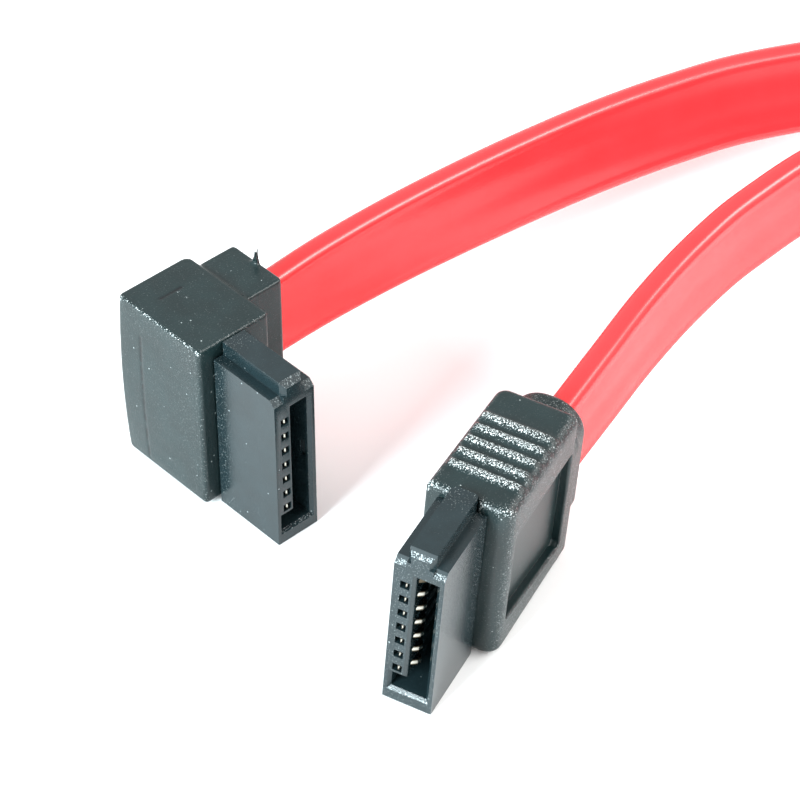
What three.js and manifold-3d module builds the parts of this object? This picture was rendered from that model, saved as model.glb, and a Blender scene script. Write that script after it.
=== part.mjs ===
// A SATA data cable: a flat red lead on its edge, with a straight plug on one end
// and a right-angled plug on the other.
// Millimetres, +Z up, the view of the photograph looks along +Y.
// A plug is drawn in its own frame: +X is the way it mates, +Z is up to the key,
// +Y is the side away from its contacts.
import * as THREE from "three";
import { mergeVertices } from "three/addons/utils/BufferGeometryUtils.js";
import Module from "manifold-3d";

const wasm = await Module();
wasm.setup();

// Mating part, the same on both plugs
const contactPitch = 1.27;
const contactCount = 7;
const shellThick = 3.46;
const shellWide = 12.77;
const keyWide = 1.84;
const keyHigh = 1.07;
const keyFlank = 0.3;
const keyRoot = 0.45;
const keyRootRound = 0.42;
const leadIn = 0.45;
const slotLeft = -0.2;
const slotRight = 1.23;
const slotBottom = 1.03;
const slotTop = 11.56;
const legLeft = -1.26;
const legTop = 2.36;
const slotDeep = 5.2;
const mouthChamfer = 0.22;
const windowMid = -0.88;
const windowWide = 0.66;
const windowHigh = 0.6;
const firstContact = 10.68;
const webThick = 0.55;
const channelDeep = 5.6;
const dimpleFront = -0.5;
const dimpleBack = -0.95;
const dimpleLow = 5.8;
const dimpleHigh = 7.3;
const dimpleDeep = 0.2;

// The shell's tail that the overmold grips
const shellLength = 6.0;
const tailLength = 1.6;
const tailInset = 0.35;
const mouldClearance = 0.1;
const tailOverlap = 0.2;

// Contacts
const stripThick = 0.15;
const stripWide = 0.42;
const contactClearance = 0.09;

// Overmold of the straight plug
const straightRear = -16.55;
const straightLeft = -2.65;
const straightRight = 3.35;
const straightBottom = 0.25;
const straightTop = 13.55;
const noseRound = 1.0;
const rearLeftRound = 0.8;
const rearRightRound = 0.45;
const rearStep = -17.45;
const rearStepInset = 0.9;
const sideTaper = 0.3;
const topRound = 0.85;
const topLeftRound = 0.5;
const edgeRound = 0.4;
const ribCount = 5;
const ribPitch = 1.23;
const firstRib = -8.45;
const ribWide = 0.72;
const ribHigh = 0.22;
const ribRound = 0.2;
const ribRooted = 1;
const ribLeft = -2.2;
const ribShort = 0.1;
const panelDeep = 0.75;
const panelRear = -16.0;
const panelFront = -7.4;
const panelLowRear = 1.9;
const panelLowFront = 2.85;
const panelCut = 0.4;
const panelTop = 10.4;
const bootEnd = -19.0;
const bootLeft = -2.0;
const bootRight = 3.1;
const bootBottom = 3.1;
const bootTop = 12.1;
const bootRound = 2.3;
const bootFoot = 0.8;
const bootRooted = 1.2;

// Overmold of the right-angled plug
const angledRear = -14.45;
const angledLeft = -2.95;
const angledRight = 3.2;
const angledBottom = 0.3;
const angledTop = 13.95;
const angledRound = 0.35;
const angledEdge = 0.15;
const angledBulge = 0.3;
const sideBootRear = -13.5;
const sideBootFront = -8.4;
const sideBootEnd = 6.45;
const sideBootBottom = 1.0;
const sideBootTop = 13.65;
const sideBootRound = 0.3;
const flashAt = -10.85;
const flashHigh = 1.4;

// Cable
const cableWide = 6.8;
const cableThick = 1.7;
const cableEdge = 0.6;

// The cable's middle line, from the angled plug, round the loop on the floor, to the straight plug
const cablePoints = [
  [-7.04, 15.31, 6.96], [-2.45, 20.00, 6.96], [2.45, 24.38, 6.96], [7.57, 28.49, 6.96],
  [12.84, 32.41, 6.96], [18.27, 36.10, 6.96], [23.94, 39.41, 6.96], [29.88, 42.22, 6.96],
  [40.71, 45.15, 6.77], [51.94, 45.99, 6.20], [62.73, 48.88, 5.41], [69.07, 57.79, 4.57],
  [68.46, 68.97, 3.87], [68.81, 80.10, 3.48], [76.44, 87.89, 3.45], [87.37, 87.23, 3.45],
  [94.18, 78.68, 3.45], [92.25, 67.89, 3.45], [84.10, 60.26, 3.45], [74.51, 54.35, 3.45],
  [66.90, 46.19, 3.45], [65.17, 35.28, 3.45], [70.62, 25.63, 3.45], [79.87, 19.26, 3.45],
  [89.11, 12.87, 3.45], [94.36, 3.13, 3.45], [91.51, -7.43, 3.45], [81.68, -12.20, 3.45],
  [71.40, -8.32, 3.45], [65.76, 1.25, 3.46], [64.60, 12.43, 3.82], [63.50, 23.61, 4.53],
  [57.68, 33.04, 5.41], [47.25, 36.61, 6.26], [36.67, 33.18, 6.91], [28.35, 25.63, 7.17],
  [24.06, 20.30, 7.17], [20.30, 14.58, 7.17], [16.93, 8.63, 7.17], [13.59, 2.66, 7.17],
];

// Where the two plugs stand
const angledPlace = { x: -3.639, y: 1.630, turn: -46.97, lean: 0 };
const straightPlace = { x: 3.651, y: -14.202, turn: -116.34, lean: -4.15 };

const mouldBlack = new THREE.MeshStandardMaterial({ color: 0x39454a, roughness: 0.6 });
const shellBlack = new THREE.MeshStandardMaterial({ color: 0x454f54, roughness: 0.45 });
const contactMetal = new THREE.MeshStandardMaterial({ color: 0xd8cfae, metalness: 1, roughness: 0.3 });
const cableRed = new THREE.MeshStandardMaterial({ color: 0xe03a42, roughness: 0.5 });

function asSolid(geometry) {
  const bare = new THREE.BufferGeometry();
  const flat = geometry.index ? geometry.toNonIndexed() : geometry;
  bare.setAttribute("position", flat.getAttribute("position"));
  const merged = mergeVertices(bare, 1e-4);
  return new wasm.Manifold(
    new wasm.Mesh({
      numProp: 3,
      vertProperties: merged.attributes.position.array,
      triVerts: new Uint32Array(merged.index.array),
    }),
  );
}

function asGeometry(solid) {
  const made = solid.getMesh();
  const geometry = new THREE.BufferGeometry();
  const places = new Float32Array(made.numVert * 3);
  for (let i = 0; i < made.numVert; i++)
    for (let k = 0; k < 3; k++) places[i * 3 + k] = made.vertProperties[i * made.numProp + k];
  geometry.setAttribute("position", new THREE.BufferAttribute(places, 3));
  geometry.setIndex(new THREE.BufferAttribute(new Uint32Array(made.triVerts), 1));
  geometry.computeVertexNormals();
  return geometry;
}

function outline(points) {
  return new THREE.Shape(points.map(([x, y]) => new THREE.Vector2(x, y)));
}

// A rectangle whose corners are rounded by four radii: low left, low right, high right, high left.
function rounded(x0, y0, x1, y1, [a, b, c, d]) {
  const shape = new THREE.Shape();
  shape.moveTo(x0 + a, y0);
  shape.lineTo(x1 - b, y0);
  if (b) shape.absarc(x1 - b, y0 + b, b, -Math.PI / 2, 0, false);
  shape.lineTo(x1, y1 - c);
  if (c) shape.absarc(x1 - c, y1 - c, c, 0, Math.PI / 2, false);
  shape.lineTo(x0 + d, y1);
  if (d) shape.absarc(x0 + d, y1 - d, d, Math.PI / 2, Math.PI, false);
  shape.lineTo(x0, y0 + a);
  if (a) shape.absarc(x0 + a, y0 + a, a, Math.PI, Math.PI * 1.5, false);
  return shape;
}

function extruded(shape, from, to, round = 0, steps = 3, curve = 4, rings = 1) {
  const geometry = new THREE.ExtrudeGeometry(shape, {
    depth: to - from - 2 * round,
    steps: rings,
    bevelEnabled: round > 0,
    bevelSize: round,
    bevelThickness: round,
    bevelOffset: -round,
    bevelSegments: steps,
    curveSegments: curve,
  });
  return geometry.translate(0, 0, from + round);
}

// A profile drawn as the front view (side, up) and pulled along the mating direction
function alongMating(shape, from, to, round, steps, curve) {
  const turn = new THREE.Matrix4().makeBasis(
    new THREE.Vector3(0, 1, 0),
    new THREE.Vector3(0, 0, 1),
    new THREE.Vector3(1, 0, 0),
  );
  return asSolid(extruded(shape, from, to, round, steps, curve).applyMatrix4(turn));
}

// A profile drawn as the plan (mating, side) and pulled upwards
function upwards(shape, from, to, round, steps, curve) {
  return asSolid(extruded(shape, from, to, round, steps, curve));
}

// A profile drawn as the side view (mating, up) and pulled from one side to the other
function sideways(shape, from, to, round, steps, curve) {
  const turn = new THREE.Matrix4().makeBasis(
    new THREE.Vector3(1, 0, 0),
    new THREE.Vector3(0, 0, 1),
    new THREE.Vector3(0, -1, 0),
  );
  return asSolid(extruded(shape, -to, -from, round, steps, curve).applyMatrix4(turn));
}

// Each corner of a solid's mesh moved by a rule
function bent(geometry, rule) {
  const places = geometry.getAttribute("position");
  for (let i = 0; i < places.count; i++)
    places.setXYZ(i, ...rule(places.getX(i), places.getY(i), places.getZ(i)));
  return geometry;
}

function block(x0, x1, y0, y1, z0, z1) {
  return upwards(outline([[x0, y0], [x1, y0], [x1, y1], [x0, y1]]), z0, z1);
}

function contactHeight(i) {
  return firstContact - i * contactPitch;
}

// The L-shaped mouth that takes the drive's tongue
function mouth(grow) {
  return outline([
    [legLeft - grow, slotBottom - grow],
    [slotRight + grow, slotBottom - grow],
    [slotRight + grow, slotTop + grow],
    [slotLeft - grow, slotTop + grow],
    [slotLeft - grow, legTop + grow],
    [legLeft - grow, legTop + grow],
  ]);
}

function frontOutline(grow) {
  const half = shellThick / 2 + grow;
  const keyHalf = keyWide / 2 + grow;
  const top = shellWide + grow;
  return outline([
    [-half, -grow],
    [half, -grow],
    [half, top],
    [keyHalf, top],
    [keyHalf, top + keyHigh],
    [-keyHalf, top + keyHigh],
    [-keyHalf, top],
    [-half, top],
  ]);
}

function tailBlock(grow) {
  const half = shellThick / 2 - tailInset + grow;
  return block(
    -shellLength - tailLength - grow, -shellLength + tailOverlap,
    -half, half, tailInset - grow, shellWide - tailInset + grow,
  );
}

// The key's rounded end, which lies in the top of the straight plug's overmold
function keyEnd(grow) {
  const half = keyWide / 2 + grow;
  const round = keyRootRound + grow;
  const rear = -shellLength - keyRoot - grow;
  const plan = rounded(rear, -half, -shellLength + tailOverlap, half, [round, 0, 0, round]);
  return upwards(plan, shellWide - keyRoot - grow, shellWide + keyHigh + grow);
}

function makeHousing(latchDimple, rootedKey) {
  const keyTop = shellWide + keyHigh;
  let body = alongMating(frontOutline(0), -shellLength, 0).add(tailBlock(0));
  if (rootedKey) body = body.add(keyEnd(0));
  // The wedge that bevels a front edge at this height
  const noseCut = (high) =>
    sideways(
      outline([[-leadIn, high + 0.01], [0.1, high + 0.01], [0.1, high - leadIn], [0, high - leadIn]]),
      -shellThick, shellThick,
    );
  const keyFront = block(-leadIn - 1, 1, -keyWide / 2, keyWide / 2, 0, keyTop);
  body = body.subtract(noseCut(keyTop)).subtract(noseCut(shellWide).subtract(keyFront));
  for (const side of [-1, 1]) {
    const edge = (side * keyWide) / 2;
    const inner = edge - side * keyFlank;
    const clear = edge + side * 0.1;
    const rear = -keyFlank - 0.1;
    const points = [[0.1, inner], [0.1, clear], [rear, clear], [rear, edge], [0, inner]];
    body = body.subtract(upwards(outline(side > 0 ? points : points.reverse()), shellWide, keyTop + 1));
  }
  body = body.subtract(alongMating(mouth(0), -slotDeep, 1));
  body = body.subtract(asSolid(mouthFlare()));
  for (let i = 0; i < contactCount; i++) {
    const mid = contactHeight(i);
    const low = mid - windowHigh / 2;
    const high = mid + windowHigh / 2;
    body = body.subtract(block(-1, 1, windowMid - windowWide / 2, windowMid + windowWide / 2, low, high));
    body = body.subtract(
      block(-channelDeep, -webThick, windowMid - windowWide / 2, slotLeft + 0.05, low, high),
    );
  }
  if (latchDimple)
    body = body.subtract(
      block(dimpleBack, dimpleFront, slotRight - 0.1, slotRight + dimpleDeep, dimpleLow, dimpleHigh),
    );
  return asGeometry(body);
}

// The sloping lips round the mouth: its outline at the lips' depth, joined to a larger one at the face
function mouthFlare() {
  const turn = new THREE.Matrix4().makeBasis(
    new THREE.Vector3(0, 1, 0),
    new THREE.Vector3(0, 0, 1),
    new THREE.Vector3(1, 0, 0),
  );
  const inner = mouth(0).getPoints();
  const outer = mouth(mouthChamfer).getPoints();
  const faces = THREE.ShapeUtils.triangulateShape(inner, []);
  const places = [];
  const corner = (p, x) => places.push(p.x, p.y, x);
  const rings = [
    [inner, -mouthChamfer],
    [outer, 0],
    [outer, 0.3],
  ];
  for (const [a, b, c] of faces) {
    corner(inner[c], -mouthChamfer);
    corner(inner[b], -mouthChamfer);
    corner(inner[a], -mouthChamfer);
    corner(outer[a], 0.3);
    corner(outer[b], 0.3);
    corner(outer[c], 0.3);
  }
  for (let k = 0; k < rings.length - 1; k++) {
    const [low, x0] = rings[k];
    const [high, x1] = rings[k + 1];
    for (let i = 0; i < low.length; i++) {
      const j = (i + 1) % low.length;
      corner(low[i], x0);
      corner(low[j], x0);
      corner(high[j], x1);
      corner(low[i], x0);
      corner(high[j], x1);
      corner(high[i], x1);
    }
  }
  const geometry = new THREE.BufferGeometry();
  geometry.setAttribute("position", new THREE.BufferAttribute(new Float32Array(places), 3));
  return geometry.applyMatrix4(turn);
}

// A spring contact: its nose sits in the window, its bend bears on the tongue, its tail runs back
function makeContact(i) {
  const mid = contactHeight(i);
  const back = windowMid - windowWide / 2 + contactClearance;
  const crest = slotLeft + 0.22;
  const line = [
    [-0.12, back + 0.22],
    [-0.5, back + 0.26],
    [-1.1, crest - 0.12],
    [-1.35, crest],
    [-1.57, crest - 0.1],
    [-2.05, back + 0.42],
    [-3.2, back + 0.05],
    [-channelDeep + contactClearance, back],
  ];
  const under = line.map(([x, y]) => [x, y]);
  const over = line.map(([x, y]) => [x, y + stripThick]).reverse();
  const nose = [[-0.05, back + 0.22 + stripThick / 2]];
  const strip = outline([...over, ...nose, ...under].reverse());
  return asGeometry(upwards(strip, mid - stripWide / 2, mid + stripWide / 2));
}

function makeStraightOvermold() {
  const front = -shellLength - mouldClearance;
  const corners = [rearLeftRound, 0, noseRound, rearRightRound];
  const plan = rounded(straightRear, straightLeft, front, straightRight, corners);
  // The left side closes in towards the cable.
  const taper = (x, y, z) => [x, y < 0 ? y + (sideTaper * (front - x)) / (front - straightRear) : y, z];
  let body = asSolid(bent(extruded(plan, straightBottom, straightTop, edgeRound, 2, 4), taper));
  const section = (grow) => {
    const rounds = [0, 0, topRound + grow, topLeftRound + grow];
    return rounded(straightLeft - grow, 0, straightRight, straightTop + grow, rounds);
  };
  body = body.intersect(alongMating(section(0), straightRear - 1, front + 1, 0, 1, 6));
  // Below the boot's top the body reaches further back, flush with its right side.
  const step = rounded(
    straightLeft + rearStepInset, straightBottom, straightRight, bootTop,
    [edgeRound, edgeRound, bootRound, bootRound],
  );
  body = body.add(alongMating(step, rearStep, straightRear + bootRooted, rearRightRound / 2, 2, 6));
  const boot = rounded(bootLeft, bootBottom, bootRight, bootTop, [bootFoot, bootFoot, bootRound, bootRound]);
  body = body.add(alongMating(boot, bootEnd, straightRear + bootRooted, edgeRound, 2, 6));
  const ribLimit = alongMating(section(ribHigh), straightRear, front, 0, 1, 6);
  for (let i = 0; i < ribCount; i++) {
    const mid = firstRib - i * ribPitch;
    const rib = rounded(
      mid - ribWide / 2, straightTop - ribRooted, mid + ribWide / 2, straightTop + ribHigh,
      [0, 0, ribRound, ribRound],
    );
    body = body.add(sideways(rib, ribLeft, straightRight - ribShort).intersect(ribLimit));
  }
  const panel = outline([
    [panelRear + panelCut, panelLowRear],
    [panelFront, panelLowFront],
    [panelFront, panelTop],
    [panelRear, panelTop],
    [panelRear, panelLowRear + panelCut],
  ]);
  body = body.subtract(sideways(panel, straightRight - panelDeep, straightRight + 1));
  return asGeometry(body.subtract(tailBlock(mouldClearance)).subtract(keyEnd(mouldClearance)));
}

function makeAngledOvermold() {
  const front = -shellLength - mouldClearance;
  const plan = rounded(angledRear, angledLeft, front, angledRight, [angledRound, 0.3, 0.25, 0.6]);
  const middle = (angledTop + angledBottom) / 2;
  // The left face bulges in its middle height, most at the rear.
  const bulge = (x, y, z) => {
    const high = 1 - ((z - middle) / (angledTop - middle)) ** 2;
    const back = (front - x) / (front - angledRear);
    return [x, y < 0 ? y - angledBulge * high * back : y, z];
  };
  let body = asSolid(bent(extruded(plan, angledBottom, angledTop, angledEdge, 2, 3, 10), bulge));
  const section = rounded(
    sideBootRear, angledRight - 1, sideBootFront, sideBootEnd, [0, 0, sideBootRound, sideBootRound],
  );
  body = body.add(upwards(section, sideBootBottom, sideBootTop, angledEdge, 2, 3));
  const flash = outline([
    [flashAt - 0.5, sideBootTop - 0.3],
    [flashAt + 0.35, sideBootTop - 0.3],
    [flashAt + 0.1, sideBootTop + flashHigh * 0.5],
    [flashAt, sideBootTop + flashHigh],
    [flashAt - 0.15, sideBootTop + flashHigh * 0.45],
  ]);
  body = body.add(sideways(flash, sideBootEnd - 0.4, sideBootEnd - 0.15));
  return asGeometry(body.subtract(tailBlock(mouldClearance)));
}

function makeCable(points) {
  const path = new THREE.CatmullRomCurve3(
    points.map(([x, y, z]) => new THREE.Vector3(x, y, z)), false, "centripetal",
  );
  const h = cableWide / 2;
  const t = cableThick / 2;
  const section = outline([
    [-h + cableEdge, -t], [h - cableEdge, -t], [h, -t + cableEdge], [h, t - cableEdge],
    [h - cableEdge, t], [-h + cableEdge, t], [-h, t - cableEdge], [-h, -t + cableEdge],
  ]);
  return new THREE.ExtrudeGeometry(section, { steps: 78, extrudePath: path });
}

const group = new THREE.Group();
group.name = "sata_data_cable";

function place(parent, name, geometry, material) {
  const mesh = new THREE.Mesh(geometry, material);
  mesh.name = name;
  parent.add(mesh);
}

function makePlug(kind, at, overmold, dimple, rootedKey) {
  const plug = new THREE.Group();
  place(plug, kind + "_housing", makeHousing(dimple, rootedKey), shellBlack);
  place(plug, kind + "_overmold", overmold, mouldBlack);
  for (let i = 0; i < contactCount; i++)
    place(plug, kind + "_contact_" + (i + 1), makeContact(i), contactMetal);
  plug.rotation.order = "ZYX";
  plug.rotation.set(THREE.MathUtils.degToRad(at.lean), 0, THREE.MathUtils.degToRad(at.turn));
  // A leaning plug stands on the lower edge of its shell.
  const lift = (shellThick / 2) * Math.sin(Math.abs(THREE.MathUtils.degToRad(at.lean)));
  plug.position.set(at.x, at.y, lift);
  group.add(plug);
}

makePlug("angled", angledPlace, makeAngledOvermold(), true, false);
makePlug("straight", straightPlace, makeStraightOvermold(), false, true);
place(group, "cable", makeCable(cablePoints), cableRed);

export default group;
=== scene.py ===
import math
import bmesh
import bpy
import numpy as np
from mathutils import Matrix, Vector


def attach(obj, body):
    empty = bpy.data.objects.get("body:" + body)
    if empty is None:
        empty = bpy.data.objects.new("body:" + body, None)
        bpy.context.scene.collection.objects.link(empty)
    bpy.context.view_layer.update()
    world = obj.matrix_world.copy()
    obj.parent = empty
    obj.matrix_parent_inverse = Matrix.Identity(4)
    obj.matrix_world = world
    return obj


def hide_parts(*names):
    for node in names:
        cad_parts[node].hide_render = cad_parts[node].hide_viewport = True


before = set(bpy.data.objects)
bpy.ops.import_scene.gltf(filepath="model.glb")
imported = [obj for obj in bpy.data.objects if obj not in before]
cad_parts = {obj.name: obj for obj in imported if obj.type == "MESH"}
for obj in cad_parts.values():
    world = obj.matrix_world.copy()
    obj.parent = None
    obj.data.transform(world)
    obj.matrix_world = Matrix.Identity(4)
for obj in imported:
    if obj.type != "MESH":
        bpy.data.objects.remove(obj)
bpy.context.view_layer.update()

# The looks of a SATA data cable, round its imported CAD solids. The shared frame is in metres, with Z up.
# A plug's own frame is in millimetres: X the way it mates, Y away from its contacts and Z up to its key.
mm = 0.001

# The camera, solved from the photograph with the contacts' 1.27 mm pitch as the scale.
view = {
    "place": (3.2565, -144.44, 141.995),  # millimetres
    "pitchDown": 41.65,
    "focal": 135.0,
    "sensor": 36.0,
    "clipNear": 0.01,
    "clipFar": 20.0,
}
cameraData = bpy.data.cameras.new("camera")
cameraData.lens = view["focal"]
cameraData.sensor_width = view["sensor"]
cameraData.clip_start = view["clipNear"]
cameraData.clip_end = view["clipFar"]
camera = bpy.data.objects.new("camera", cameraData)
bpy.context.collection.objects.link(camera)
camera.location = [c * mm for c in view["place"]]
camera.rotation_euler = (math.radians(90 - view["pitchDown"]), 0, 0)
bpy.context.scene.camera = camera
print("camera placed")

# Where the plugs stand, as in the CAD, in millimetres and degrees: the turn is about the vertical, and the
# lean about the mating axis.
plugs = {
    "angled": {"x": -3.639, "y": 1.630, "turn": -46.97, "lean": 0.0},
    "straight": {"x": 3.651, "y": -14.202, "turn": -116.34, "lean": -4.15},
}
shellThick = 3.46  # millimetres, as in the CAD


# From a plug's own frame, in metres, to the shared one. A leaning plug stands on the lower edge of its
# shell, so it is lifted by half the shell's thickness times the sine of the lean.
def plugMatrix(kind):
    at = plugs[kind]
    lean = math.radians(at["lean"])
    lift = shellThick / 2 * math.sin(abs(lean))
    return (
        Matrix.Translation((at["x"] * mm, at["y"] * mm, lift * mm))
        @ Matrix.Rotation(math.radians(at["turn"]), 4, "Z")
        @ Matrix.Rotation(lean, 4, "X")
    )


# The cable's section and how it stands. Near each plug it is twisted by some degrees, and is fuller by
# these shares, as far as the picture shows it.
cable = {
    "wide": 6.8 * mm,
    "thick": 1.7 * mm,
    "edge": 0.74 * mm,  # the radius of its edges
    "groove": 0.04 * mm,
    "cornerPoints": 7,
    "flatPoints": 25,
    "rings": 900,
    "spanSteps": 40,
    "sharpFrom": 50,
    "twistStart": 21.0,
    "twistEnd": 3.0,
    "fullWide": 1.03,
    "fullThick": 1.12,
    "viewStart": 0.046,
    "viewEnd": 0.028,
}
# Its middle line from the angled plug to the straight one, the same points as in the CAD.
cablePoints = np.array([
    [-7.04, 15.31, 6.96], [-2.45, 20.00, 6.96], [2.45, 24.38, 6.96], [7.57, 28.49, 6.96],
    [12.84, 32.41, 6.96], [18.27, 36.10, 6.96], [23.94, 39.41, 6.96], [29.88, 42.22, 6.96],
    [40.71, 45.15, 6.77], [51.94, 45.99, 6.20], [62.73, 48.88, 5.41], [69.07, 57.79, 4.57],
    [68.46, 68.97, 3.87], [68.81, 80.10, 3.48], [76.44, 87.89, 3.45], [87.37, 87.23, 3.45],
    [94.18, 78.68, 3.45], [92.25, 67.89, 3.45], [84.10, 60.26, 3.45], [74.51, 54.35, 3.45],
    [66.90, 46.19, 3.45], [65.17, 35.28, 3.45], [70.62, 25.63, 3.45], [79.87, 19.26, 3.45],
    [89.11, 12.87, 3.45], [94.36, 3.13, 3.45], [91.51, -7.43, 3.45], [81.68, -12.20, 3.45],
    [71.40, -8.32, 3.45], [65.76, 1.25, 3.46], [64.60, 12.43, 3.82], [63.50, 23.61, 4.53],
    [57.68, 33.04, 5.41], [47.25, 36.61, 6.26], [36.67, 33.18, 6.91], [28.35, 25.63, 7.17],
    [24.06, 20.30, 7.17], [20.30, 14.58, 7.17], [16.93, 8.63, 7.17], [13.59, 2.66, 7.17],
]) * mm


# A knot's gap is the square root of the distance between its two points.
def knotGap(a, b):
    return np.sqrt(np.linalg.norm(b - a, axis=1))[:, None]


# Points evenly spaced along a centripetal Catmull-Rom curve through the given ones, and how far along it
# each one is.
def smoothLine(points, count, steps):
    ends = np.vstack([2 * points[0] - points[1], points, 2 * points[-1] - points[-2]])
    p0, p1, p2, p3 = ends[:-3], ends[1:-2], ends[2:-1], ends[3:]
    d0, d1, d2 = knotGap(p0, p1), knotGap(p1, p2), knotGap(p2, p3)
    # The slope at a point is the slope before it, less the slope across both gaps, plus the slope after it.
    m1 = (p1 - p0) / d0 - (p2 - p0) / (d0 + d1) + (p2 - p1) / d1
    m2 = (p2 - p1) / d1 - (p3 - p1) / (d1 + d2) + (p3 - p2) / d2
    # Each span is the cubic with these end points and these end slopes.
    t = np.linspace(0, 1, steps, endpoint=False)[None, :, None]
    a, b = p1[:, None], p2[:, None]
    m1, m2 = (m1 * d1)[:, None], (m2 * d1)[:, None]
    fine = (2 * t**3 - 3 * t**2 + 1) * a + (t**3 - 2 * t**2 + t) * m1
    fine = fine + (3 * t**2 - 2 * t**3) * b + (t**3 - t**2) * m2
    fine = np.vstack([fine.reshape(-1, 3), points[-1]])
    run = np.concatenate([[0], np.cumsum(np.linalg.norm(np.diff(fine, axis=0), axis=1))])
    even = np.linspace(0, run[-1], count)
    return np.stack([np.interp(even, run, fine[:, k]) for k in range(3)], axis=1), even


def makeMesh(name, places, faces):
    mesh = bpy.data.meshes.new(name)
    mesh.from_pydata(places.tolist(), [], faces)
    mesh.update()
    made = bpy.data.objects.new(name, mesh)
    bpy.context.collection.objects.link(made)
    return made


# A closed tube from rings of points, all with the same count, with flat ends.
def sweep(name, rings):
    count, around = rings.shape[:2]
    index = np.arange(count * around).reshape(count, around)
    nextRound = np.roll(index, -1, axis=1)
    sides = np.stack([index[:-1], nextRound[:-1], nextRound[1:], index[1:]], axis=-1).reshape(-1, 4)
    faces = sides.tolist() + [index[0][::-1].tolist(), index[-1].tolist()]
    return makeMesh(name, rings.reshape(-1, 3), faces)


# Smooth shading, with the edges sharper than this many degrees kept sharp.
def shadeSmooth(piece, degrees):
    piece.data.shade_smooth()
    piece.data.set_sharp_from_angle(angle=math.radians(degrees))


# A smooth step from 0 to 1 as the value goes from low to high: three times its square less twice its cube.
def smoothStep(low, high, value):
    t = np.clip((value - low) / (high - low), 0, 1)
    return t * t * (3 - 2 * t)


# 1 where the value is between low and high, easing to 0 over the soft width outside.
def between(low, high, soft, value):
    return smoothStep(low - soft, low, value) * (1 - smoothStep(high, high + soft, value))


# Numbers or vectors kept on a mesh, one for each point or face, for its material to read.
def setNumbers(piece, name, kind, domain, values):
    layer = piece.data.attributes.new(name, kind, domain)
    field = "vector" if kind == "FLOAT_VECTOR" else "value"
    layer.data.foreach_set(field, np.ascontiguousarray(values, dtype=np.float32).ravel())


# One field, a place or a normal, of all of a mesh's points or faces.
def vectorsOf(items, field):
    flat = np.empty(len(items) * 3)
    items.foreach_get(field, flat)
    return flat.reshape(-1, 3)


def setPlaces(mesh, places):
    mesh.vertices.foreach_set("co", places.ravel())
    mesh.update()


def moved(places, matrix):
    m = np.array(matrix)
    return places @ m[:3, :3].T + m[:3, 3]


# How a CAD node's facets are joined: points this near and faces this flat become one, and edges this sharp
# are rounded. Lengths are in millimetres and angles in degrees.
joining = {
    "mergeWithin": 0.002,
    "flatWithin": 0.5,
    "sharpFrom": 25,
    "roundSteps": 2,
}


# A copy of a CAD node as one joined mesh, in the plug's own frame, with its edges rounded if asked.
def joinedCopy(node, kind, rounding=0.0):
    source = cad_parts[node]
    toPlug = Matrix.Diagonal((1 / mm, 1 / mm, 1 / mm, 1)) @ plugMatrix(kind).inverted()
    work = bmesh.new()
    work.from_mesh(source.data)
    work.transform(toPlug @ source.matrix_world)
    bmesh.ops.remove_doubles(work, verts=work.verts, dist=joining["mergeWithin"])
    flatWithin = math.radians(joining["flatWithin"])
    bmesh.ops.dissolve_limit(work, angle_limit=flatWithin, verts=work.verts, edges=work.edges)
    if rounding:
        rim = work.faces.layers.float.new("rim")
        sharp = math.radians(joining["sharpFrom"])
        edges = [e for e in work.edges if len(e.link_faces) == 2 and e.calc_face_angle(0) > sharp]
        # A profile of 0.5 is a round one.
        made = bmesh.ops.bevel(
            work, geom=edges, offset=rounding, offset_type="OFFSET", segments=joining["roundSteps"],
            profile=0.5, affect="EDGES", clamp_overlap=True,
        )
        for face in made["faces"]:
            face[rim] = 1.0
    mesh = bpy.data.meshes.new(node + "_joined")
    work.to_mesh(mesh)
    work.free()
    return mesh


# Each point goes halfway to the middle of the points it is joined to, a number of times.
def relaxed(places, links, times):
    count = np.bincount(links.ravel(), minlength=len(places))[:, None]
    for _ in range(times):
        total = np.stack([
            np.bincount(links[:, 0], weights=places[links[:, 1], k], minlength=len(places))
            + np.bincount(links[:, 1], weights=places[links[:, 0], k], minlength=len(places))
            for k in range(3)
        ], axis=1)
        places = places + 0.5 * (total / count - places)
    return places


# Moulded pieces: the CAD's solid is meshed evenly and relaxed, so that its edges look cast and its marks
# have points. Lengths are in millimetres. A point counts as flat up to the first of the two heights, and as
# an edge from the next.
moulding = {
    "grid": 0.1,
    "relaxTimes": 5,
    "edgeTimes": 30,
    "edgeFull": 0.085,
    "flatHeights": (0.010, 0.035),
    "flatTimes": 3,
    "lineDeep": 0.03,
}


# The straight plug's side recess, as its walls and floor stand in the CAD, and how near a point is drawn
# onto them. The floor is then lifted a little, as the photograph has it.
recess = {
    "rear": -16.0,
    "front": -7.4,
    "lowRear": 1.9,
    "lowFront": 2.85,
    "top": 10.4,
    "floor": 2.6,
    "mouth": 3.35,
    "margin": 0.1,
    "reach": 0.16,
    "floorLift": 0.12,
    "softenTimes": 2,
}


# How much a point lies inside the recess, its walls and floor included, from 0 to 1.
def insideRecess(places):
    a, r, w = places.T
    box, edge = recess, recess["margin"]
    along = between(box["rear"] - edge, box["front"] + edge, edge, a)
    deep = between(box["floor"] - 2 * edge, box["mouth"] - edge, edge / 2, r)
    high = between(box["lowRear"] - edge, box["top"] + edge, edge, w)
    return along * deep * high


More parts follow.
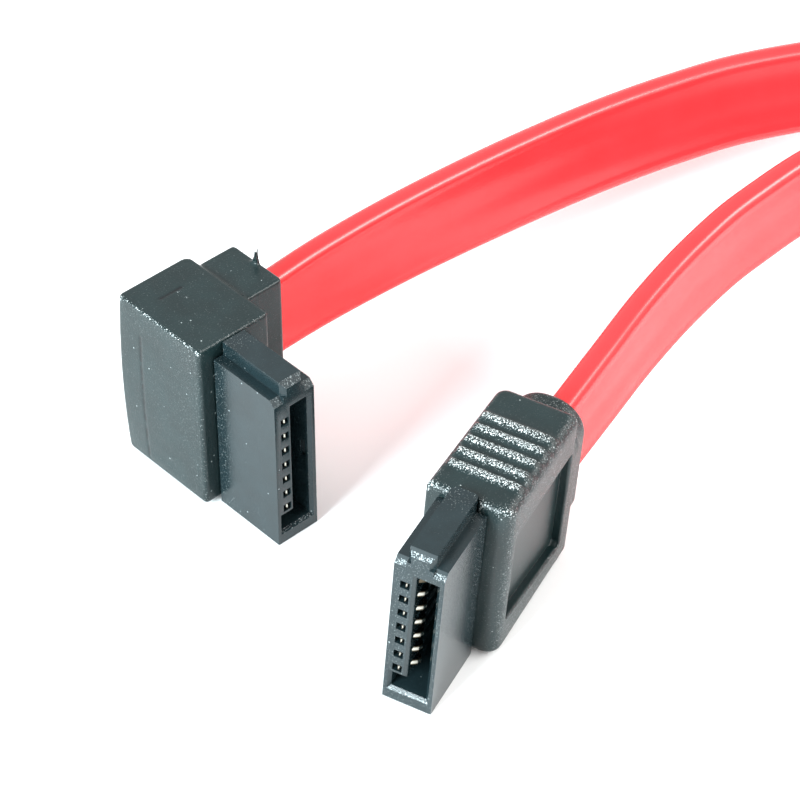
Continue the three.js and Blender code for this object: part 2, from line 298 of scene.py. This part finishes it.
# The recess's walls and floor are drawn flat, so its inner corners stay crisp, and then softened a little.
# The low wall slants, so its height is the rear end's plus the slope times the way forward.
def crispRecess(places, links):
    box = recess
    inside = insideRecess(places) > 0.5
    slope = (box["lowFront"] - box["lowRear"]) / (box["front"] - box["rear"])
    low = box["lowRear"] + slope * (places[:, 0] - box["rear"])
    walls = [(0, box["rear"]), (0, box["front"]), (2, low), (2, box["top"]), (1, box["floor"])]
    for axis, wall in walls:
        near = inside & (np.abs(places[:, axis] - wall) < box["reach"])
        places[:, axis] = np.where(near, wall, places[:, axis])
    onFloor = inside & (places[:, 1] < box["floor"] + box["margin"] / 10)
    places[:, 1] = np.where(onFloor, box["floor"] + box["floorLift"], places[:, 1])
    return places + (relaxed(places, links, box["softenTimes"]) - places) * inside[:, None]


# The CAD's solid as an evenly spaced mesh, by a voxel remesh.
def evenMesh(node, kind):
    mesh = joinedCopy(node, kind)
    holder = bpy.data.objects.new(node + "_holder", mesh)
    bpy.context.collection.objects.link(holder)
    even = holder.modifiers.new("even", "REMESH")
    even.mode = "VOXEL"
    even.voxel_size = moulding["grid"]
    graph = bpy.context.evaluated_depsgraph_get()
    dense = bpy.data.meshes.new_from_object(holder.evaluated_get(graph))
    bpy.data.objects.remove(holder)
    bpy.data.meshes.remove(mesh)
    return dense


# The moulded piece, its places and its normals, and how much of an edge each point is, which is 0 on flats.
def castPiece(node, kind):
    dense = evenMesh(node, kind)
    links = np.empty(len(dense.edges) * 2, dtype=np.int32)
    dense.edges.foreach_get("vertices", links)
    links = links.reshape(-1, 2)
    places = relaxed(vectorsOf(dense.vertices, "co"), links, moulding["relaxTimes"])
    setPlaces(dense, places)
    # An edge stands out from its own surroundings: how far a point is outside a much more relaxed copy.
    smooth = relaxed(places, links, moulding["edgeTimes"])
    standing = ((places - smooth) * vectorsOf(dense.vertices, "normal")).sum(axis=1)
    # Flats take the more relaxed places.
    flat = 1 - smoothStep(*moulding["flatHeights"], np.abs(standing))
    flat = relaxed(np.repeat(flat[:, None], 3, axis=1), links, moulding["flatTimes"])
    places = places + (smooth - places) * flat
    if kind == "straight":
        places = crispRecess(places, links)
    setPlaces(dense, places)
    piece = bpy.data.objects.new(node + "_cast", dense)
    bpy.context.collection.objects.link(piece)
    return piece, places, vectorsOf(dense.vertices, "normal"), standing / moulding["edgeFull"]


# Back to the shared frame, with the plug's own frame kept as an attribute for the material.
def finishPiece(piece, kind, places, node, material):
    setNumbers(piece, "plug", "FLOAT_VECTOR", "POINT", places)
    setPlaces(piece.data, moved(places * mm, plugMatrix(kind)))
    piece.data.materials.clear()
    piece.data.materials.append(material)
    piece.data.shade_smooth()
    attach(piece, "root")
    if node:
        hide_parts(node)


# What the limits of a mark's zone are set against: the point's place, and how much it faces each way.
def measuresOf(places, normals):
    return {
        "along": places[:, 0], "side": places[:, 1], "up": places[:, 2],
        "facingFront": normals[:, 0], "facingLeft": -normals[:, 1], "facingUp": normals[:, 2],
    }


# How much each point lies in each zone: the product of its limits. A limit of two numbers eases in from the
# first to the second. One of three is full between the first two, and fades outside them over the third.
def zoneShares(zones, measures):
    shares = {}
    for zone, limits in zones.items():
        shares[zone] = 1.0
        for name, low, high, *soft in limits:
            value = measures[name]
            share = between(low, high, *soft, value) if soft else smoothStep(low, high, value)
            shares[zone] = shares[zone] * share
    return shares


# The straight plug's mould: how strong its spark-eroded grain is, and where its bright speckle with painted
# glints lies.
straightMould = {
    "grain": 0.37,
    "topGrain": 0.10,
    "frontGrain": 0.15,
    # Speckle on the ribs and the rounded edges is grain texture plus painted glints.
    "ribSpeckleAndGlint": 0.88,
    "edgeSpeckleAndGlint": 0.70,
    "cornerSpeckleAndGlint": 0.85,
    "backSpeckleAndGlint": 0.52,
    "zones": {
        "flatTop": [("facingUp", 0.9, 0.97), ("up", 13.3, 13.5)],
        "front": [("facingFront", 0.5, 0.9)],
        "ribs": [("up", 13.61, 13.71), ("facingUp", 0.55, 0.85)],
        "rightTop": [("side", 1.8, 3.6, 0.4), ("up", 12.3, 13.0)],
        "corner": [("along", -7.6, -5.9, 0.3), ("up", 12.4, 13.0)],
        "besideKey": [("side", -1.0, 0.9, 0.15)],
        "back": [("along", -19.5, -16.2, 0.3), ("up", 10.5, 11.5)],
    },
}


# The speckle at each point, with painted glints on the ribs and the rounded edges, and no line. The flat top
# is nearly plain, and the side recess is smooth.
def straightMarks(places, normals, edge):
    look = straightMould
    share = zoneShares(look["zones"], measuresOf(places, normals))
    outer = np.clip(edge, 0, 1)
    grain = look["grain"] + (look["topGrain"] - look["grain"]) * share["flatTop"]
    grain = grain + (look["frontGrain"] - look["grain"]) * share["front"]
    speckleAndGlint = np.maximum.reduce([
        grain * (1 - insideRecess(places)),
        look["ribSpeckleAndGlint"] * share["ribs"],
        look["edgeSpeckleAndGlint"] * outer * share["rightTop"],
        look["cornerSpeckleAndGlint"] * outer * share["corner"] * (1 - share["besideKey"]),
        look["backSpeckleAndGlint"] * outer * share["back"],
    ])
    return speckleAndGlint, np.zeros(len(places))


# The right-angled plug's mould: its parting line, the cut-off gate on its top and two specks beside it.
angledMould = {
    "lineAt": -12.1,
    "lineWide": 0.12,
    "edge": (0.25, 0.9),
    "grain": 0.12,
    "thicker": 0.10,
    # Speckle on the rounded edges is grain texture plus painted glints.
    "edgeSpeckleAndGlint": 0.68,
    "topSpeckleAndGlint": 0.34,
    "frontSpeckleAndGlint": 0.32,
    "specks": [(-11.9, 0.2), (-11.0, 0.2)],
    "speckWide": 0.09,
    "speckBright": 1.1,
    "zones": {
        "top": [("facingUp", 0.7, 0.9)],
        "left": [("facingLeft", 0.7, 0.9)],
        "parting": [("facingLeft", 0.7, 0.9), ("up", 0.8, 11.6, 0.3)],
        "gate": [("facingUp", 0.7, 0.9), ("side", -1.2, 0.65, 0.15)],
        "leftTop": [("side", -2.5, -2.9), ("up", 13.3, 13.75)],
        "frontTop": [("along", -6.7, -6.2), ("up", 13.3, 13.75)],
        "frontLeft": [("side", -2.3, -2.7), ("along", -7.2, -6.4)],
        "nearFront": [("along", -9.5, -6.4)],
        "nearTop": [("up", 11.5, 13.8)],
    },
}


# The speckle, with painted glints along the rounded edges, and the line at each point. The left face's
# speckle thickens toward the front edge and the top. The line and the specks fade by e to the minus square of
# the distance over their width.
def angledMarks(places, normals, edge):
    look = angledMould
    a, r, w = places.T
    share = zoneShares(look["zones"], measuresOf(places, normals))
    outer = smoothStep(*look["edge"], edge)
    leftGrain = look["grain"] + look["thicker"] * (share["nearFront"] + share["nearTop"])
    speckleAndGlint = np.maximum.reduce([
        np.full(len(places), look["grain"]),
        share["left"] * leftGrain,
        look["edgeSpeckleAndGlint"] * outer * share["leftTop"],
        look["topSpeckleAndGlint"] * outer * share["frontTop"],
        look["frontSpeckleAndGlint"] * outer * share["frontLeft"],
    ])
    for at, side in look["specks"]:
        speck = np.exp(-((a - at) ** 2 + (r - side) ** 2) / look["speckWide"] ** 2)
        speckleAndGlint = np.maximum(speckleAndGlint, look["speckBright"] * share["top"] * speck)
    line = np.exp(-(((a - look["lineAt"]) / look["lineWide"]) ** 2))
    return speckleAndGlint, line * np.maximum(share["parting"], share["gate"])


# An overmold with its marks. The lines are also slight grooves.
def makeMould(kind, marks, material):
    node = kind + "_overmold"
    piece, places, normals, edge = castPiece(node, kind)
    speckleAndGlint, line = marks(places, normals, edge)
    places = places - normals * (line * moulding["lineDeep"])[:, None]
    setNumbers(piece, "speckleAndGlint", "FLOAT", "POINT", speckleAndGlint)
    setNumbers(piece, "line", "FLOAT", "POINT", line)
    finishPiece(piece, kind, places, node, material)
    return piece


# The thin tail of flash on the angled plug's boot, too thin for the even mesh.
flash = {
    "at": (-11.0, 6.37, 13.5),
    "high": 1.5,
    "wide": 0.86,
    "thick": 0.14,
    "levels": 9,
    "around": 6,
    "lean": 0.22,
    "taper": 1.8,
    "tip": 0.05,
}


# Rings from the boot to the tip. A ring's size is the tip's share, plus the rest times a power of the way
# left to go, and it leans by the square of the way gone.
def flashRings():
    up = np.linspace(0, 1, flash["levels"])
    size = (1 - up) ** flash["taper"] * (1 - flash["tip"]) + flash["tip"]
    turn = np.linspace(0, 2 * math.pi, flash["around"], endpoint=False)
    ring = np.stack([np.cos(turn) * flash["wide"] / 2, np.sin(turn) * flash["thick"] / 2], 1)
    rings = np.zeros((flash["levels"], flash["around"], 3))
    rings[:, :, :2] = size[:, None, None] * ring[None]
    rings[:, :, 0] += (flash["lean"] * up**2)[:, None]
    rings[:, :, 2] = (up * flash["high"])[:, None]
    return rings + np.array(flash["at"])


def makeFlash(material):
    rings = flashRings()
    piece = sweep("angled_flash", rings[:, ::-1])
    for name in ("speckleAndGlint", "line"):
        setNumbers(piece, name, "FLOAT", "POINT", np.zeros(rings.size // 3))
    finishPiece(piece, "angled", rings.reshape(-1, 3), None, material)


# The shells keep the CAD's crisp faces, with small rounds on their edges. Wear and grain are shares of one.
shellLook = {
    "round": 0.05,
    "sharpFrom": 15,
    "wornSlope": (0.86, 0.95),
    # The rounds' share is partly wear and partly a painted highlight along the edges.
    "rimWearAndHighlight": 0.50,
    "wear": {"straight": 1.0, "angled": 0.5},
    "grain": 0.06,
    "frontFacing": (0.9, 0.98),
    "frontGrain": {"straight": 0.30, "angled": 0.10},
}


# A shell with its wear. A chamfer that faces half forward and half up is worn most: there the sum of those
# two parts of the normal, over the root of two, comes near one. The rounds get less wear, with a painted
# highlight along them.
def makeShell(kind, material):
    look = shellLook
    node = kind + "_housing"
    mesh = joinedCopy(node, kind, look["round"])
    piece = bpy.data.objects.new(node + "_shell", mesh)
    bpy.context.collection.objects.link(piece)
    normals = vectorsOf(mesh.polygons, "normal")
    slope = (normals[:, 0] + normals[:, 2]) / math.sqrt(2)
    rim = np.empty(len(mesh.polygons), dtype=np.float32)
    mesh.attributes["rim"].data.foreach_get("value", rim)
    worn = np.maximum(smoothStep(*look["wornSlope"], slope), look["rimWearAndHighlight"] * rim)
    worn = np.maximum(worn * look["wear"][kind], look["grain"])
    front = smoothStep(*look["frontFacing"], normals[:, 0])
    setNumbers(piece, "worn", "FLOAT", "FACE", np.maximum(worn, front * look["frontGrain"][kind]))
    finishPiece(piece, kind, vectorsOf(mesh.vertices, "co"), node, material)
    piece.data.set_sharp_from_angle(angle=math.radians(look["sharpFrom"]))


# The contacts of each plug. The first strip of the straight one keeps only painted shade, as it lies in
# the mouth's shade: the place that its material reads is moved back, behind the painted highlight.
contacts = {
    "count": 7,
    "shaded": ("straight", 1),
    "shadedBack": 1.0,
}


# The CAD's strips, each with its points' places in the plug's frame, measured upward from the strip's middle.
def dressContacts(kind, material):
    for number in range(1, contacts["count"] + 1):
        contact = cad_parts["%s_contact_%d" % (kind, number)]
        places = moved(vectorsOf(contact.data.vertices, "co"), plugMatrix(kind).inverted()) / mm
        places[:, 2] -= (places[:, 2].min() + places[:, 2].max()) / 2
        if (kind, number) == contacts["shaded"]:
            places[:, 0] -= contacts["shadedBack"]
        setNumbers(contact, "strip", "FLOAT_VECTOR", "POINT", places)
        contact.data.materials.clear()
        contact.data.materials.append(material)


# The flat section as (across, through): a rounded bar whose broad faces dip between the two wire pairs.
def cableSection():
    h, t, r = cable["wide"] / 2, cable["thick"] / 2, cable["edge"]
    flat = h - r
    corner = np.linspace(0, math.pi / 2, cable["cornerPoints"])
    side = np.linspace(-1, 1, cable["flatPoints"])[1:-1] * flat
    # The dip is a cosine of the place across: full on the middle line and by the edges, none over a pair.
    dip = cable["groove"] * (0.5 + 0.5 * np.cos(side / flat * 2 * math.pi))
    # A quarter round, a broad face and another quarter round.
    half = np.vstack([
        np.stack([flat + r * np.cos(corner), t - r + r * np.sin(corner)], 1),
        np.stack([-side, t - dip], 1),
        np.stack([-flat - r * np.sin(corner), t - r + r * np.cos(corner)], 1),
    ])
    # The other half is the same one, half a turn round.
    return np.vstack([half, -half])


# The twist grows by a sine from the plug to the edge of the view, then fades by a cosine over three times
# that reach.
def twistOf(distance, reach, most):
    grow = np.sin(np.clip(distance / reach, 0, 1) * math.pi / 2)
    fade = 0.5 + 0.5 * np.cos(np.clip((distance - reach) / (3 * reach), 0, 1) * math.pi)
    return math.radians(most) * grow * fade


# The cable's jacket, its middle line and its length.
def makeCable():
    line, run = smoothLine(cablePoints, cable["rings"], cable["spanSteps"])
    total = run[-1]
    along = np.gradient(line, run, axis=0)
    along /= np.linalg.norm(along, axis=1)[:, None]
    # Level is the horizontal way across the line, and upright is square to both.
    level = np.stack([-along[:, 1], along[:, 0], np.zeros(len(line))], 1)
    level /= np.linalg.norm(level, axis=1)[:, None]
    upright = np.cross(along, level)
    twist = twistOf(run, cable["viewStart"], cable["twistStart"])
    twist = twist - twistOf(total - run, cable["viewEnd"], cable["twistEnd"])
    # The twist turns the section's two axes, by its cosine and sine.
    c, s = np.cos(twist)[:, None], np.sin(twist)[:, None]
    acrossAxis = c * upright + s * level
    throughAxis = -s * upright + c * level
    # The jacket is fuller up to the edge of the view, fading out at twice that length.
    near = 1 - smoothStep(1.0, 2.0, np.minimum(run / cable["viewStart"], (total - run) / cable["viewEnd"]))
    wide = 1 + (cable["fullWide"] - 1) * near
    thick = 1 + (cable["fullThick"] - 1) * near
    section = cableSection()
    across = (section[None, :, :1] * wide[:, None, None]) * acrossAxis[:, None]
    through = (section[None, :, 1:] * thick[:, None, None]) * throughAxis[:, None]
    rings = line[:, None] + across + through
    return sweep("cable_jacket", rings[:, ::-1]), line, total


# Materials

# Most of a noise lies between these levels.
toneLevels = (0.3, 0.7)
# What both black plastics share. Sizes are in millimetres. A mask says how much speckle and painted glint is
# asked for, and a pair of its values eases something in.
plastic = {
    "ior": 1.45,
    "toneSize": 2.2,
    "toneSpread": 0.15,
    "speckSize": 0.085,
    "speckLevel": 0.70,
    "speckDrop": 0.19,  # how far the level falls at a full mask
    "speckSoft": 0.04,
    "speckRough": 0.28,
    "speckHigh": 0.5,  # as a share of the grain's height
    "faintMask": (0.01, 0.2),
    "brightMask": (0.15, 0.8),
    "dust": 0.6,
    "dustCell": 0.75,
    "dustShare": 0.35,
    "dustRadius": 0.055,
}
surfaces = {
    "overmold": {
        "color": (0.006, 0.016, 0.017),
        "rough": 0.31,
        "grain": 0.13,
        "grainDeep": 0.040,
        "plainGrain": 0.35,  # how much of the grain's depth is left where it is plain
        "grainMask": (0.12, 0.36),
        # The specks' colours: grain texture and painted glints.
        "speckAndGlintColor": (0.72, 0.78, 0.78),
        "dimSpeckAndGlint": (0.085, 0.10, 0.10),
        "dustColor": (0.45, 0.50, 0.50),
        "lineColor": (0.001, 0.002, 0.003),
        "lineBreaks": 0.8,  # the size of the breaks in the line
        "lineLevels": (0.35, 0.6),
    },
    "shell": {
        "color": (0.009, 0.018, 0.021),
        "rough": 0.18,
        "grain": 0.10,
        "grainDeep": 0.010,
        # The specks' colours: wear, and on the rounds also a painted highlight.
        "speckAndGlintColor": (0.30, 0.34, 0.35),
        "dimSpeckAndGlint": (0.12, 0.14, 0.14),
        "dustColor": (0.42, 0.48, 0.49),
        "wornBack": 0.24,
        "lipBack": 0.07,
        "lipHeights": (1.5, 2.0),
        "wornFade": 0.06,
        "rimMost": 0.6,  # a mask under this is a round's
        "wornAbove": 2.5,  # how high the worn chamfer starts
        "wornMask": (0.2, 0.4),
        "wornRough": 0.60,
        "specks": 0.24,  # the mask near the overmold, growing over this way back
        "specksFrom": 3.4,
        "specksTo": 5.6,
    },
    "contact": {
        "color": (0.66, 0.63, 0.55),
        # The colour of the painted shade over most of each strip.
        "paintedShade": (0.10, 0.08, 0.055),
        "rough": 0.24,
        "roughMore": 0.12,
        "tarnishSize": 0.3,
        "tarnishLevels": (0.35, 0.7),
        "tarnished": 0.8,
        # Where the painted highlight on the crest starts, and how wide it is.
        "highlightFrom": -1.6,
        "highlightFull": -1.42,
        "highlightWide": 0.10,
        "highlightSoft": 0.05,
    },
    "cable": {
        "color": (0.72, 0.021, 0.025),
        "darker": 0.95,
        "lighter": 1.06,
        "toneSize": 3.0,
        "rough": 0.27,
        "ior": 1.58,
        "rippleSize": 0.12,
        "rippleDeep": 0.003,
    },
}


# A small helper that adds and links shader nodes.
class Nodes:
    def __init__(self, name):
        self.material = bpy.data.materials.new(name)
        self.material.use_nodes = True
        self.tree = self.material.node_tree
        self.shader = next(n for n in self.tree.nodes if n.type == "BSDF_PRINCIPLED")

    # Each value is an input's or, where the node has no such input, a setting's.
    def add(self, kind, **values):
        node = self.tree.nodes.new(kind)
        for key, value in values.items():
            if key in node.inputs:
                node.inputs[key].default_value = value
            else:
                setattr(node, key, value)
        return node

    # A number or a colour is written into the socket, and another node's output is linked to it.
    def feed(self, socket, value):
        if isinstance(value, (int, float)):
            socket.default_value = value
        elif isinstance(value, tuple):
            socket.default_value = (*value, 1)
        else:
            self.tree.links.new(value, socket)

    def attribute(self, name, output="Fac"):
        return self.add("ShaderNodeAttribute", attribute_name=name).outputs[output]

    def objectPlace(self):
        return self.add("ShaderNodeTexCoord").outputs["Object"]

    # The three parts of a place.
    def partsOf(self, place):
        node = self.add("ShaderNodeSeparateXYZ")
        self.feed(node.inputs[0], place)
        return list(node.outputs)

    def math(self, operation, *values):
        node = self.add("ShaderNodeMath", operation=operation)
        for slot, value in enumerate(values):
            self.feed(node.inputs[slot], value)
        return node.outputs[0]

    # Noise whose features are about that size, in the units of the place it is given.
    def noise(self, place, size, detail=2.0, rough=0.6, distortion=0.0):
        node = self.add("ShaderNodeTexNoise", Scale=1.0 / size, Detail=detail)
        self.feed(node.inputs["Roughness"], rough)
        self.feed(node.inputs["Distortion"], distortion)
        self.feed(node.inputs["Vector"], place)
        return node.outputs["Fac"]

    # The value from one range taken to another by a smooth step, held at its ends.
    def mapped(self, value, low, high, toLow=0.0, toHigh=1.0):
        node = self.add("ShaderNodeMapRange", interpolation_type="SMOOTHSTEP")
        given = {"Value": value, "From Min": low, "From Max": high, "To Min": toLow, "To Max": toHigh}
        for name, number in given.items():
            self.feed(node.inputs[name], number)
        return node.outputs["Result"]

    # In a colour mix, the sockets are the factor at 0 and the two colours at 6 and 7.
    def mixed(self, factor, a, b):
        node = self.add("ShaderNodeMix", data_type="RGBA")
        for slot, value in ((0, factor), (6, a), (7, b)):
            self.feed(node.inputs[slot], value)
        return node.outputs[2]

    # Height finer than the mesh, shown by shading.
    def bump(self, height, deep, strength=1.0):
        node = self.add("ShaderNodeBump", Distance=deep * mm)
        self.feed(node.inputs["Strength"], strength)
        self.feed(node.inputs["Height"], height)
        self.feed(self.shader.inputs["Normal"], node.outputs["Normal"])


def toned(color, times):
    return tuple(min(c * times, 1) for c in color)


# Small bright dust: the few cells of a coarse cell pattern whose own number is high, near their middle.
def dustOf(nodes, place):
    cell = plastic["dustCell"]
    cells = nodes.add("ShaderNodeTexVoronoi", Scale=1.0 / cell)
    nodes.feed(cells.inputs["Vector"], place)
    split = nodes.add("ShaderNodeSeparateColor")
    nodes.feed(split.inputs[0], cells.outputs["Color"])
    chosen = nodes.math("GREATER_THAN", split.outputs[0], 1.0 - plastic["dustShare"])
    close = nodes.math("LESS_THAN", cells.outputs["Distance"], plastic["dustRadius"] / cell)
    return nodes.math("MULTIPLY", nodes.math("MULTIPLY", chosen, close), plastic["dust"])


# The shell's mask of wear, and its worn chamfer. Wear reaches a little way back from the front edge, and
# less on the mouth's low lip, while the rounds keep their wear and painted highlight. Handling has left
# specks near the overmold.
def shellWear(nodes, place, mask, look):
    along, _, up = nodes.partsOf(place)
    back = nodes.math("MULTIPLY", along, -1.0)
    reach = nodes.mapped(up, *look["lipHeights"], look["lipBack"], look["wornBack"])
    near = nodes.mapped(nodes.math("SUBTRACT", back, reach), 0.0, look["wornFade"], 1.0, 0.0)
    # The rounds keep their wear and painted highlight wherever they are.
    wornLitRims = nodes.math("MULTIPLY", mask, nodes.math("LESS_THAN", mask, look["rimMost"]))
    wornFace = nodes.math("MULTIPLY", mask, nodes.math("GREATER_THAN", up, look["wornAbove"]))
    mask = nodes.math("MAXIMUM", nodes.math("MULTIPLY", mask, near), wornLitRims)
    handled = nodes.mapped(back, look["specksFrom"], look["specksTo"], 0.0, look["specks"])
    return nodes.math("MAXIMUM", mask, handled), wornFace


# Grained black plastic in the plug's own millimetres, with bright speckle and painted glints where the mask
# asks, and dust.
def mouldedPlastic(name, look, maskName, lineName=None, worn=False):
    nodes = Nodes(name)
    shader = nodes.shader
    place = nodes.attribute("plug", "Vector")
    mask = nodes.attribute(maskName)
    if worn:
        mask, wornFace = shellWear(nodes, place, mask, look)
    tone = nodes.mapped(nodes.noise(place, plastic["toneSize"], detail=3.0), *toneLevels)
    spread = plastic["toneSpread"]
    color = nodes.mixed(tone, toned(look["color"], 1 - spread), toned(look["color"], 1 + spread))
    # The more speckle is asked for, the lower the level that the fine noise must pass.
    fine = nodes.noise(place, plastic["speckSize"], detail=1.0, rough=0.5, distortion=0.6)
    drop = nodes.math("MULTIPLY", mask, plastic["speckDrop"])
    level = nodes.math("SUBTRACT", plastic["speckLevel"], drop)
    specks = nodes.mapped(fine, level, nodes.math("ADD", level, plastic["speckSoft"]))
    specks = nodes.math("MULTIPLY", specks, nodes.mapped(mask, *plastic["faintMask"]))
    # Sparse specks are faint, dense ones bright.
    bright = nodes.mapped(mask, *plastic["brightMask"])
    color = nodes.mixed(specks, color, nodes.mixed(bright, look["dimSpeckAndGlint"], look["speckAndGlintColor"]))
    color = nodes.mixed(dustOf(nodes, place), color, look["dustColor"])
    if lineName:
        broken = nodes.mapped(nodes.noise(place, look["lineBreaks"]), *look["lineLevels"])
        line = nodes.math("MULTIPLY", nodes.attribute(lineName), broken)
        color = nodes.mixed(line, color, look["lineColor"])
    rough = nodes.mapped(specks, 0.0, 1.0, look["rough"], plastic["speckRough"])
    if worn:
        wornRough = nodes.mapped(wornFace, *look["wornMask"], look["rough"], look["wornRough"])
        rough = nodes.math("MAXIMUM", rough, wornRough)
    nodes.feed(shader.inputs["Base Color"], color)
    nodes.feed(shader.inputs["Roughness"], rough)
    nodes.feed(shader.inputs["IOR"], plastic["ior"])
    grain = nodes.noise(place, look["grain"], rough=0.65)
    height = nodes.math("ADD", grain, nodes.math("MULTIPLY", specks, plastic["speckHigh"]))
    strength = 1.0
    if "plainGrain" in look:
        strength = nodes.mapped(mask, *look["grainMask"], look["plainGrain"], 1.0)
    nodes.bump(height, look["grainDeep"], strength)
    return nodes.material


# Spring metal in painted shade, but for a painted highlight on the middle of each strip's front end, at its
# crest.
def contactMetal(name, look):
    nodes = Nodes(name)
    place = nodes.attribute("strip", "Vector")
    along, _, up = nodes.partsOf(place)
    tarnish = nodes.mapped(nodes.noise(place, look["tarnishSize"]), *look["tarnishLevels"])
    color = nodes.mixed(tarnish, look["color"], toned(look["color"], look["tarnished"]))
    wide = look["highlightWide"]
    middle = nodes.mapped(nodes.math("ABSOLUTE", up), wide, wide + look["highlightSoft"], 1, 0)
    crestHighlight = nodes.mapped(along, look["highlightFrom"], look["highlightFull"])
    # Painted shade, with the painted highlight on the middle of the crest.
    color = nodes.mixed(nodes.math("MULTIPLY", crestHighlight, middle), look["paintedShade"], color)
    rough = nodes.mapped(tarnish, 0.0, 1.0, look["rough"], look["rough"] + look["roughMore"])
    nodes.feed(nodes.shader.inputs["Base Color"], color)
    nodes.feed(nodes.shader.inputs["Metallic"], 1.0)
    nodes.feed(nodes.shader.inputs["Roughness"], rough)
    return nodes.material


# Glossy red jacket, with a slight change of tone and the finest ripple.
def cableJacket(name, look):
    nodes = Nodes(name)
    place = nodes.objectPlace()
    tone = nodes.mapped(nodes.noise(place, look["toneSize"] * mm, rough=0.5), *toneLevels)
    color = nodes.mixed(tone, toned(look["color"], look["darker"]), toned(look["color"], look["lighter"]))
    nodes.feed(nodes.shader.inputs["Base Color"], color)
    nodes.feed(nodes.shader.inputs["Roughness"], look["rough"])
    nodes.feed(nodes.shader.inputs["IOR"], look["ior"])
    nodes.bump(nodes.noise(place, look["rippleSize"] * mm, rough=0.5), look["rippleDeep"])
    return nodes.material


materials = {
    "overmold": mouldedPlastic("overmold_black", surfaces["overmold"], "speckleAndGlint", lineName="line"),
    "shell": mouldedPlastic("shell_black", surfaces["shell"], "worn", worn=True),
    "contact": contactMetal("contact_metal", surfaces["contact"]),
    "cable": cableJacket("cable_red", surfaces["cable"]),
}
print("materials made")

# The cable
jacket, cableLine, cableLength = makeCable()
jacket.data.materials.append(materials["cable"])
shadeSmooth(jacket, cable["sharpFrom"])
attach(jacket, "root")
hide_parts("cable")
print("cable made, %.1f mm long" % (cableLength / mm))

# The plugs
moulds = {"straight": straightMarks, "angled": angledMarks}
for kind, marks in moulds.items():
    mould = makeMould(kind, marks, materials["overmold"])
    print(kind, "mould made,", len(mould.data.polygons), "faces")
    makeShell(kind, materials["shell"])
    dressContacts(kind, materials["contact"])
makeFlash(materials["overmold"])
print("plugs made")

# The floor, the backdrop's white and the soft studio light. Lengths are in metres.
studio = {
    "floor": 0.92,
    "floorRough": 0.6,
    "floorSize": 3.0,
    "floorDrop": 0.00005,
    "world": 0.96,
    "aim": (0, 0, 0),
}
lamps = {
    "key": {
        "place": (-0.48, -0.48, 0.32), "wide": 0.30, "tall": 0.30,
        "power": 14.5, "color": (0.86, 1.0, 1.05),
    },
    "side": {
        "place": (0.50, -0.42, 0.37), "wide": 0.30, "tall": 0.30,
        "power": 1.6, "color": (1.0, 1.0, 0.98),
    },
    "rim": {
        "place": (0.61, 0.02, 0.43), "wide": 0.50, "tall": 0.16,
        "power": 4.0, "color": (1.0, 1.0, 0.98),
    },
}


def makeFloor():
    half, low = studio["floorSize"] / 2, -studio["floorDrop"]
    corners = np.array([[-half, -half, low], [half, -half, low], [half, half, low], [-half, half, low]])
    floor = makeMesh("floor", corners, [[0, 1, 2, 3]])
    nodes = Nodes("floor_white")
    nodes.feed(nodes.shader.inputs["Base Color"], (studio["floor"],) * 3)
    nodes.feed(nodes.shader.inputs["Roughness"], studio["floorRough"])
    floor.data.materials.append(nodes.material)
    return floor


def makeLight(name, look):
    data = bpy.data.lights.new(name, "AREA")
    data.shape = "RECTANGLE"
    data.size = look["wide"]
    data.size_y = look["tall"]
    data.energy = look["power"]
    data.color = look["color"]
    light = bpy.data.objects.new(name, data)
    bpy.context.collection.objects.link(light)
    light.location = look["place"]
    toAim = Vector(studio["aim"]) - Vector(look["place"])
    light.rotation_euler = toAim.to_track_quat("-Z", "Y").to_euler()
    return light


def makeWorld():
    world = bpy.data.worlds.new("studio")
    bpy.context.scene.world = world
    world.use_nodes = True
    background = world.node_tree.nodes["Background"]
    background.inputs["Color"].default_value = (1, 1, 1, 1)
    background.inputs["Strength"].default_value = studio["world"]


floor = makeFloor()
lights = [makeLight(name, look) for name, look in lamps.items()]
makeWorld()
bpy.context.scene.view_settings.view_transform = "Standard"
print("studio set")
